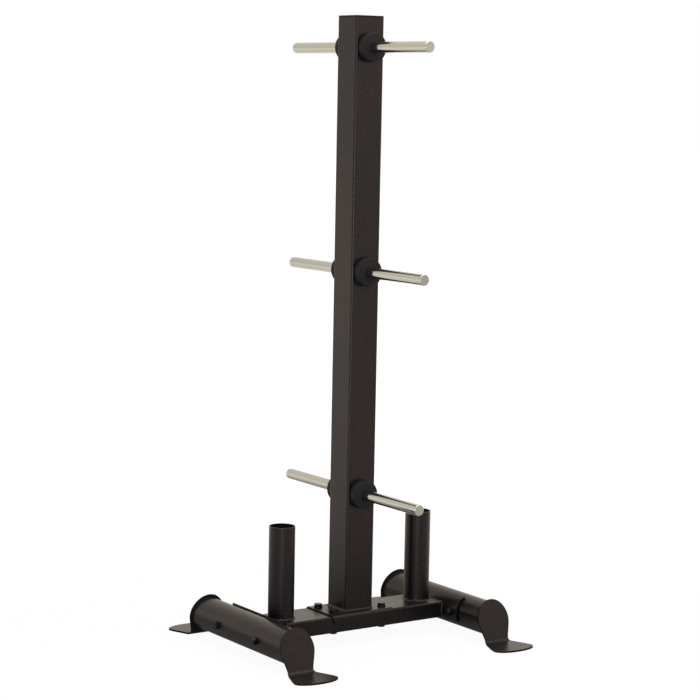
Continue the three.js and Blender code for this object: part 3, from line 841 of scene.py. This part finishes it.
# %% Pegs
LEVELS = ("low", "middle", "top")
PEG_SIDES = 96
PEG_CHAMFER = 1.8 * MM
END_FACING = 0.9
peg_low, peg_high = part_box("peg_low_front")
PEG_RADIUS = (peg_high.z - peg_low.z) / 2
chamfer_start = peg_low.y + PEG_CHAMFER
peg_place = (0, (peg_low.y + peg_high.y) / 2, 0)
master_peg = rod("peg_master", peg_place, PEG_RADIUS, peg_high.y - peg_low.y, PEG_SIDES, lying=True)
edit(master_peg)
round_edges(
    master_peg, lambda edge: max(vert.co.y for vert in edge.verts) < chamfer_start,
    PEG_CHAMFER, segments=3, profile=0.6,
)
done()
smooth(master_peg, angle=50)


def at_each_level(master, name):
    """Copies of a front piece for both ends of the three levels, each with the level and the end."""
    for level in LEVELS:
        low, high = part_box(f"peg_{level}_front")
        rise = (0, 0, (low.z + high.z) / 2)
        for end, turn in ENDS.items():
            yield twin(master, f"{name}_{level}_{end}", move=rise, turn_z=turn), f"{level}_{end}"
    bpy.data.objects.remove(master)


for peg, label in at_each_level(master_peg, "chromed_peg"):
    settle(peg, chrome, "peg_chrome", f"peg_{label}")
    # The end faces get the darker chrome, which is painted shade.
    second_finish(peg, turned_shaded_chrome, [abs(face.normal.y) > END_FACING for face in peg.data.polygons])

# %% [markdown]
# ## The hidden studs
# One threaded stud joins each pair of pegs inside the column. Nothing shows it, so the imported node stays
# and only gets a plain zinc-grey steel.

# %% Studs
stud_steel = bright_metal(
    "stud_steel", (0.34, 0.34, 0.33), (0.44, 0.44, 0.43), (0.32, 0.44), all_ways, bump=0.3,
)
for level in LEVELS:
    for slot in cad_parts[f"peg_stud_{level}"].material_slots:
        slot.material = stud_steel

# %% [markdown]
# ## The bumpers
# A moulded rubber disc sits round each peg against the column. A cylinder's two ends are inset, the insets
# are bridged into a bore, and the outer rims get a wide round. A Boolean could drill the bore, but inset and
# bridge keep even rings of faces, which shade without creases.

# %% Bumpers
bumper_low, bumper_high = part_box("bumper_low_front")
BUMPER_RADIUS = (bumper_high.x - bumper_low.x) / 2
BUMPER_ROUND = 2 * MM
BORE_RADIUS = PEG_RADIUS + SEAT_GAP
bumper_place = (0, (bumper_low.y + bumper_high.y) / 2, 0)
bumper_depth = bumper_high.y - bumper_low.y
master_bumper = rod("bumper_master", bumper_place, BUMPER_RADIUS, bumper_depth, PEG_SIDES, lying=True)


def is_outer_rim(edge):
    place = middle(edge)
    return not runs_along(edge, "y") and math.hypot(place.x, place.z) > BUMPER_RADIUS - MM


edit(master_bumper)
pick(master_bumper, "FACE", lambda face: faces_along(face, "y"))
bpy.ops.mesh.inset(thickness=BUMPER_RADIUS - BORE_RADIUS)
bpy.ops.mesh.bridge_edge_loops()
round_edges(master_bumper, is_outer_rim, BUMPER_ROUND, 5)
done()
smooth(master_bumper, angle=40)
for bumper, label in at_each_level(master_bumper, "rubber_bumper"):
    settle(bumper, rubber, "bumper_rubber", f"bumper_{label}")

# %% [markdown]
# ## Fasteners
# A hexagon head starts as a cylinder with six sides. A wider cylinder with a bevelled top is intersected
# with it, which leaves the curved chamfer lines that a turned hexagon has. The shank is joined under the
# head.

# %% Fastener masters
HEX_FLATS = 17 * MM
BOLT_RADIUS = 5 * MM
HEX_CHAMFER = 1.2 * MM
HEX_ROUND = 0.25 * MM
BOLT_POINT = 0.8 * MM
HOLE_RADIUS = BOLT_RADIUS + 0.5 * MM
DISC_SIDES = 64
SHANK_SIDES = 48
CROWN_SIDES = 96


def upright(name, radius, low, high, sides):
    """A standing cylinder between two heights."""
    return rod(name, (0, 0, (low + high) / 2), radius, high - low, sides)


def drill(piece, low, high):
    """Cuts the bolt's hole between two heights."""
    carve(piece, upright("hole", HOLE_RADIUS, low, high, SHANK_SIDES))


def hexagon(name, height):
    body = upright(name, HEX_FLATS / math.sqrt(3), 0, height, 6)
    crown = upright("crown", HEX_FLATS / math.sqrt(3) + 0.05 * MM, -MM, height, CROWN_SIDES)
    top = height - 0.1 * MM
    edit(crown)
    round_edges(crown, lambda edge: min(vert.co.z for vert in edge.verts) > top, HEX_CHAMFER, 1)
    done()
    carve(body, crown, "INTERSECT")
    return body


def finished_bolt(name, head, shank):
    bolt = hexagon(name, head)
    stem = upright("stem", BOLT_RADIUS, -shank, head / 2, SHANK_SIDES)
    soften(stem, BOLT_POINT, segments=1)
    carve(bolt, stem, "UNION")
    soften(bolt, HEX_ROUND)
    smooth(bolt)
    return bolt


def finished_nut(name, height):
    nut = hexagon(name, height)
    drill(nut, -MM, height + MM)
    soften(nut, HEX_ROUND)
    smooth(nut)
    return nut


# %% [markdown]
# ## Column bolts
# Four bolts clamp the column saddle to the crossbar. Heads and washers are on top, nuts underneath. Their
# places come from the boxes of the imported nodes. Each kind is modelled once, and every head has a turn of
# its own, because bolts that are tightened by hand never end up alike.

# %% Column bolts
bolt_low, bolt_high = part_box("column_bolt_1")
washer_low, washer_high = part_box("column_washer_1")
nut_low, nut_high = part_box("column_nut_1")
HEAD_HEIGHT = bolt_high.z - washer_high.z - SEAT_GAP
WASHER_RADIUS = (washer_high.x - washer_low.x) / 2
washer_depth = washer_high.z - washer_low.z
master_bolt = finished_bolt("bolt_master", HEAD_HEIGHT, bolt_high.z - HEAD_HEIGHT - bolt_low.z)
master_washer = upright("washer_master", WASHER_RADIUS, 0, washer_depth, DISC_SIDES)
drill(master_washer, -MM, washer_depth + MM)
soften(master_washer, 0.3 * MM)
smooth(master_washer)
master_nut = finished_nut("nut_master", nut_high.z - nut_low.z)
HEAD_TURNS = (12 * DEG, 41 * DEG, 27 * DEG, 3 * DEG)


def node_middle(name):
    low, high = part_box(name)
    return (low + high) / 2


def settle_fastener(piece, node):
    settle(piece, fastener, "black_fastener", node)


for number, turn in enumerate(HEAD_TURNS, start=1):
    x, y, _ = node_middle(f"column_bolt_{number}")
    bolt = twin(master_bolt, f"saddle_bolt_{number}", move=(x, y, bolt_high.z - HEAD_HEIGHT), turn_z=turn)
    settle_fastener(bolt, f"column_bolt_{number}")
    washer = twin(master_washer, f"saddle_washer_{number}", move=(x, y, washer_low.z))
    settle_fastener(washer, f"column_washer_{number}")
    nut = twin(master_nut, f"saddle_nut_{number}", turn_z=turn)
    nut.data.transform(Matrix.Translation((x, y, nut_high.z)) @ Matrix.Rotation(HALF_TURN, 4, "X"))
    settle_fastener(nut, f"column_nut_{number}")

# %% [markdown]
# ## Foot bolts
# Two bolts pass level through each foot tube and its end saddle. A flat washer can't sit on a round tube,
# so these are dished: the tube's own cylinder is taken away from a thicker disc.

# %% Foot bolts
foot_bolt_low, foot_bolt_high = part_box("foot_bolt_front_left")
foot_nut_low, foot_nut_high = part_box("foot_nut_front_left")
outer_low, outer_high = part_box("foot_washer_outer_front_left")
inner_low, inner_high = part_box("foot_washer_inner_front_left")
foot_head = outer_low.x - SEAT_GAP - foot_bolt_low.x
foot_shank = foot_bolt_high.x - foot_bolt_low.x - foot_head
WASHER_THICKNESS = 2 * MM
HOLLOW_SIDES = 200


def dished_washer(name, seat_radius, full_thickness):
    """Lies on z = 0 at the seat's crown, hollowed below by a cylinder along Y."""
    rise = full_thickness - WASHER_THICKNESS
    disc = upright(name, WASHER_RADIUS, -rise, WASHER_THICKNESS, DISC_SIDES)
    drill(disc, -2 * rise, 2 * WASHER_THICKNESS)
    hollow = foot_rod("hollow", 0, 4 * WASHER_RADIUS, seat_radius + SEAT_GAP, HOLLOW_SIDES)
    hollow.data.transform(Matrix.Translation((0, 0, -AXIS_HEIGHT - seat_radius)))
    carve(disc, hollow)
    soften(disc, 0.25 * MM)
    smooth(disc)
    return disc


master_foot_bolt = finished_bolt("foot_bolt_master", foot_head, foot_shank)
master_foot_nut = finished_nut("foot_nut_master", foot_nut_high.x - foot_nut_low.x)
master_outer = dished_washer("outer_washer_master", FOOT_RADIUS, outer_high.x - outer_low.x)
master_inner = dished_washer("inner_washer_master", saddle_outside, inner_high.x - inner_low.x)
FOOT_HEAD_TURNS = {
    "front_left": 20 * DEG, "back_left": 50 * DEG, "front_right": 8 * DEG, "back_right": 33 * DEG,
}


def put(master, kind, label, out, turn=0):
    """A copy whose top points away from the foot's axis, outside it or, if out is negative, inside it."""
    piece = twin(master, f"base_{kind}_{label}", turn_z=turn)
    side = SIDES[label.split("_")[1]]
    axis_point = Vector((side * FOOT_X, node_middle(f"foot_bolt_{label}").y, AXIS_HEIGHT))
    place = axis_point + Vector((side * out, 0, 0))
    pointing = math.copysign(side, side * out)
    piece.data.transform(Matrix.Translation(place) @ Matrix.Rotation(pointing * QUARTER_TURN, 4, "Y"))
    settle_fastener(piece, f"foot_{kind}_{label}")


for label, turn in FOOT_HEAD_TURNS.items():
    put(master_foot_bolt, "bolt", label, FOOT_RADIUS + WASHER_THICKNESS + SEAT_GAP, turn)
    put(master_foot_nut, "nut", label, -(saddle_outside + WASHER_THICKNESS + SEAT_GAP), turn)
    put(master_outer, "washer_outer", label, FOOT_RADIUS)
    put(master_inner, "washer_inner", label, -saddle_outside)
column_masters = (master_bolt, master_washer, master_nut)
for master in (*column_masters, master_foot_bolt, master_foot_nut, master_outer, master_inner):
    bpy.data.objects.remove(master)

# %% [markdown]
# ## Weld beads
# The frame is arc welded, and the coat covers the beads without hiding their ripples. A bead follows a path
# of points as a curve, and each point's own radius swells and shrinks to make the ripples. The two large
# kinds fill a corner, so their section is a hollow triangle that is drawn as a curve of its own. The small
# ones are round. Bump in a material could draw ripples too, but the bead's outline would stay smooth.

# %% Weld bead maker
RIPPLE_LENGTH = 3.2 * MM
POINTS_PER_RIPPLE = 6
FILLET_STEP = 15 * DEG
FILLET_STEPS = 6


def poly_curve(name, places, closed):
    """A new curve through a row of places."""
    curve = bpy.data.curves.new(name, "CURVE")
    spline = curve.splines.new("POLY")
    spline.points.add(len(places) - 1)
    spline.use_cyclic_u = closed
    for point, place in zip(spline.points, places):
        point.co = (*place, 1)
    return curve


def fillet_section(name, leg):
    """The hollow three-cornered section of a weld in a corner, as a closed curve."""
    angles = [FILLET_STEP * i for i in range(FILLET_STEPS + 1)]
    hollow = [(leg * (1 - math.sin(angle)), leg * (1 - math.cos(angle)), 0) for angle in angles]
    return linked(name, poly_curve(name, [(0, 0, 0), *hollow], True))


def bead(name, path, radius, closed=True, swell=0.10, section=None):
    """A rippled bead through a path of points, as coated steel. Its section is round, or the one given."""
    curve = poly_curve(name, path, closed)
    curve.dimensions = "3D"
    if section:
        curve.bevel_mode = "OBJECT"
        curve.bevel_object = section
        curve.twist_mode = "Z_UP"
    curve.bevel_depth = radius
    curve.bevel_resolution = 3
    curve.use_fill_caps = not closed
    for i, point in enumerate(curve.splines[0].points):
        point.radius = 1 + swell * math.sin(2 * math.pi * i / POINTS_PER_RIPPLE)
    only(linked(name, curve))
    bpy.ops.object.convert(target="MESH")
    piece = bpy.context.object
    edit(piece)
    bpy.ops.mesh.normals_make_consistent(inside=False)
    done()
    smooth(piece, angle=60)
    settle(piece, bead_coat, "black_coat")


def ripples(length):
    """How many points a bead of some length needs, as whole ripples."""
    return POINTS_PER_RIPPLE * max(1, round(length / RIPPLE_LENGTH))


# %% [markdown]
# ## Where the beads run
# One goes round the column's foot, one round each bar holder, one round the tube at each end plate, and one
# up each corner where the crossbar meets an end saddle.

# %% Column and holder beads
COLUMN_LEG = 5.2 * MM
HOLDER_LEG = 4.6 * MM
FILLET_SWELL = 0.04


def rounded_square_path(half, corner, height):
    """Points round a rounded square at one height, spaced evenly."""
    straight = 2 * (half - corner)
    quarter = straight + corner * QUARTER_TURN
    count = ripples(4 * quarter)
    path = []
    for i in range(count):
        turns, rest = divmod(4 * quarter * i / count, quarter)
        if rest < straight:
            point = Vector((half, -straight / 2 + rest))
        else:
            angle = (rest - straight) / corner
            centre = half - corner
            point = Vector((centre + corner * math.cos(angle), centre + corner * math.sin(angle)))
        turned = Matrix.Rotation(turns * QUARTER_TURN, 2) @ point
        path.append((turned.x, turned.y, height))
    return path


column_section = fillet_section("column_weld_section", COLUMN_LEG)
holder_section = fillet_section("holder_weld_section", HOLDER_LEG)
column_path = rounded_square_path(COLUMN_SIDE / 2, COLUMN_CORNER, tube_low.z)
bead("column_foot_weld", column_path, COLUMN_LEG, swell=FILLET_SWELL, section=column_section)


def circle_path(x, radius, height):
    count = ripples(2 * math.pi * radius)
    angles = [2 * math.pi * i / count for i in range(count)]
    return [(x + radius * math.cos(a), radius * math.sin(a), height) for a in angles]


for side in SIDES:
    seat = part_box(f"bar_holder_{side}")[0].z
    path = circle_path(node_middle(f"bar_holder_{side}").x, HOLDER_RADIUS, seat)
    bead(f"holder_weld_{side}", path, HOLDER_LEG, swell=FILLET_SWELL, section=holder_section)
for section in (column_section, holder_section):
    bpy.data.objects.remove(section)

# %% Foot and crossbar beads
FOOT_BEAD = 1.5 * MM
BAR_BEAD = 4.5 * MM
OFF_TUBE = 0.3  # how far a bead's middle stands off the tube or saddle, in radii of the bead
OFF_PLATE = 0.4
OFF_BAR = 0.2


def mitre_path(x, turn):
    """The ellipse where a foot tube meets the inner face of its end plate."""
    count = ripples(2 * math.pi * FOOT_RADIUS)
    turned = Matrix.Rotation(turn, 3, "Z")
    radius = FOOT_RADIUS + OFF_TUBE * FOOT_BEAD
    inner_face = PLATE_REACH - PLATE_THICKNESS / math.cos(PLATE_LEAN)
    path = []
    for i in range(count):
        angle = 2 * math.pi * i / count
        rise = radius * math.sin(angle)
        reach = inner_face - rise * math.tan(PLATE_LEAN) - OFF_PLATE * FOOT_BEAD
        point = turned @ Vector((radius * math.cos(angle), -reach, AXIS_HEIGHT + rise))
        path.append((point.x + x, point.y, point.z))
    return path


def bar_end_path(sign, front):
    """Up the crossbar's face along the end saddle."""
    low = bar_low.z + BAR_CORNER
    high = bar_high.z - BAR_CORNER
    count = ripples(high - low)
    y = front * (bar_high.y + OFF_BAR * BAR_BEAD)
    path = []
    for i in range(count + 1):
        z = low + (high - low) * i / count
        inward = math.sqrt((saddle_outside + OFF_TUBE * BAR_BEAD) ** 2 - (z - AXIS_HEIGHT) ** 2)
        path.append((sign * (FOOT_X - inward), y, z))
    return path


for side, sign in SIDES.items():
    for end, turn in ENDS.items():
        bead(f"plate_weld_{end}_{side}", mitre_path(sign * FOOT_X, turn), FOOT_BEAD)
        path = bar_end_path(sign, -1 if end == "front" else 1)
        bead(f"crossbar_weld_{end}_{side}", path, BAR_BEAD, closed=False)

# %% [markdown]
# ## The studio
# The picture is a cut-out on pure white. The floor is a large pale sheet. The camera sees it mostly as
# plain white light, with a share of real shading left near the stand, so that its shadow stays. That share
# fades out further away, where no shadow falls. The world is white to the camera and to mirror rays, and
# dimmer to the light that falls on the object.

# %% Helpers for what only some rays see
WARM_WHITE = (1, 0.935, 0.83)
WHITE = (1, 1, 1)


def shader_node(tree, kind, label, colour, strength):
    node = tree.nodes.new(kind)
    node.label = label
    node.inputs["Color"].default_value = (*colour, 1)
    node.inputs["Strength"].default_value = strength
    return node


def warm_in_mirrors(tree, node):
    """Plain white for the camera, and the warm white of the photographer's lamps for every other ray.
    A Mix node has sockets of each kind under the same names, so those for colours are found by their kind."""
    path = tree.nodes.new("ShaderNodeLightPath")
    mix = tree.nodes.new("ShaderNodeMix")
    mix.data_type = "RGBA"
    tree.links.new(path.outputs["Is Camera Ray"], mix.inputs["Factor"])
    colours = [socket for socket in mix.inputs if socket.type == "RGBA"]
    for socket, colour in zip(colours, (WARM_WHITE, WHITE)):
        socket.default_value = (*colour, 1)
    mixed = next(socket for socket in mix.outputs if socket.type == "RGBA")
    tree.links.new(mixed, node.inputs["Color"])


def arithmetic(tree, operation, first, second):
    node = tree.nodes.new("ShaderNodeMath")
    node.operation = operation
    for socket, value in zip(node.inputs, (first, second)):
        if isinstance(value, (int, float)):
            socket.default_value = value
        else:
            tree.links.new(value, socket)
    return node.outputs[0]


def seen_share(tree, camera_share, mirror_share):
    """How much of the plain white a ray sees: one share for the camera, another for mirror and clear rays."""
    path = tree.nodes.new("ShaderNodeLightPath")
    mirror = arithmetic(tree, "MAXIMUM", path.outputs["Is Glossy Ray"], path.outputs["Is Transmission Ray"])
    seen = arithmetic(tree, "MULTIPLY", path.outputs["Is Camera Ray"], camera_share)
    return arithmetic(tree, "MAXIMUM", seen, arithmetic(tree, "MULTIPLY", mirror, mirror_share))


def mix_shaders(tree, share, base, shown, output):
    mix = tree.nodes.new("ShaderNodeMixShader")
    tree.links.new(share, mix.inputs["Fac"])
    tree.links.new(base, mix.inputs[1])
    tree.links.new(shown, mix.inputs[2])
    tree.links.new(mix.outputs[0], output)


# %% Floor
FLOOR_SIZE = 60.0
FLOOR_PALE = 0.35
FLOOR_GLOW = 1.13
CAMERA_FADE = (0.8, 2.2)
CAMERA_SHARES = (0.84, 1.0)
MIRROR_FADE = (0.45, 1.4)
MIRROR_SHARES = (0.12, 0.95)
begin()
bpy.ops.mesh.primitive_plane_add(size=FLOOR_SIZE, location=(0, 0, 0))
floor = added("studio_floor")
floor_material, floor_tree, floor_shader = new_material("studio_floor_white")
floor_shader.inputs["Base Color"].default_value = (FLOOR_PALE, FLOOR_PALE, FLOOR_PALE, 1)
floor_shader.inputs["Roughness"].default_value = 0.9
floor_shader.inputs["Specular IOR Level"].default_value = 0.0
floor_glow = shader_node(floor_tree, "ShaderNodeEmission", "plain white", WHITE, FLOOR_GLOW)
warm_in_mirrors(floor_tree, floor_glow)
floor_place = floor_tree.nodes.new("ShaderNodeTexCoord")
distance = floor_tree.nodes.new("ShaderNodeVectorMath")
distance.operation = "LENGTH"
floor_tree.links.new(floor_place.outputs["Object"], distance.inputs[0])


def fade_out(reaches, shares):
    """Runs from one share to another between two distances from the stand."""
    fade = map_range(floor_tree, distance.outputs["Value"], reaches, shares)
    fade.interpolation_type = "SMOOTHSTEP"
    return fade.outputs["Result"]


camera_share = fade_out(CAMERA_FADE, CAMERA_SHARES)
mirror_share = fade_out(MIRROR_FADE, MIRROR_SHARES)
mix_shaders(
    floor_tree, seen_share(floor_tree, camera_share, mirror_share),
    floor_shader.outputs[0], floor_glow.outputs[0], floor_tree.nodes["Material Output"].inputs["Surface"],
)
floor.data.materials.append(floor_material)

# %% World
WORLD_LIGHT = 0.25
world = bpy.data.worlds.new("white_studio")
bpy.context.scene.world = world
world.use_nodes = True
world_tree = world.node_tree
soft_light = world_tree.nodes["Background"]
soft_light.inputs["Color"].default_value = (1, 0.98, 0.95, 1)
soft_light.inputs["Strength"].default_value = WORLD_LIGHT
white_view = shader_node(world_tree, "ShaderNodeBackground", "plain white", WHITE, 1.0)
warm_in_mirrors(world_tree, white_view)
mix_shaders(
    world_tree, seen_share(world_tree, 1.0, 1.0),
    soft_light.outputs[0], white_view.outputs[0], world_tree.nodes["World Output"].inputs["Surface"],
)

# %% [markdown]
# ## The lamps
# A large soft lamp above lights the tops of the base, and one high in front lights the faces that lean
# back. Two wide dim panels stand where the column's two visible faces mirror them: the right one is high
# and makes the front face fade downwards, and the left one is low and brightens the left face most at half
# height. A cool strip near the camera draws the long soft line down the bar holders and the column's
# rounded corner. The camera sees no lamp.

# %% Lamps
def softbox(name, place, target, size, power, colour):
    lamp = bpy.data.lights.new(name, "AREA")
    lamp.shape = "RECTANGLE"
    lamp.size, lamp.size_y = size
    lamp.energy = power
    lamp.color = colour
    stand = linked(name, lamp)
    stand.location = place
    stand.rotation_euler = (Vector(target) - Vector(place)).to_track_quat("-Z", "Y").to_euler()
    stand.visible_camera = False
    print(name, "gives", power, "W")


softbox("lamp_above", (0.0, 0.3, 3.3), (0, 0, 0), size=(3.2, 3.2), power=75, colour=(1, 0.95, 0.88))
softbox("lamp_front_high", (0.6, -1.9, 3.0), (0, 0, 1.0), size=(3.0, 2.0), power=28, colour=(1, 0.95, 0.88))
softbox("panel_back_left", (-2.0, 2.9, 0.5), (0, 0, 0.6), size=(3.0, 0.9), power=2, colour=(1, 0.84, 0.80))
softbox("panel_front_right", (2, -2.9, 2), (0, 0, 1.2), size=(3.0, 1.6), power=7.5, colour=(1, 0.93, 0.86))
softbox(
    "lamp_near_camera", (-2.4, -3.5, 0.75), (0, 0, 0.4), size=(0.8, 1.4), power=68, colour=(0.42, 0.74, 1),
)

# %% [markdown]
# Standard view keeps a written colour as it is.

# %% Finish
bpy.context.scene.view_settings.view_transform = "Standard"
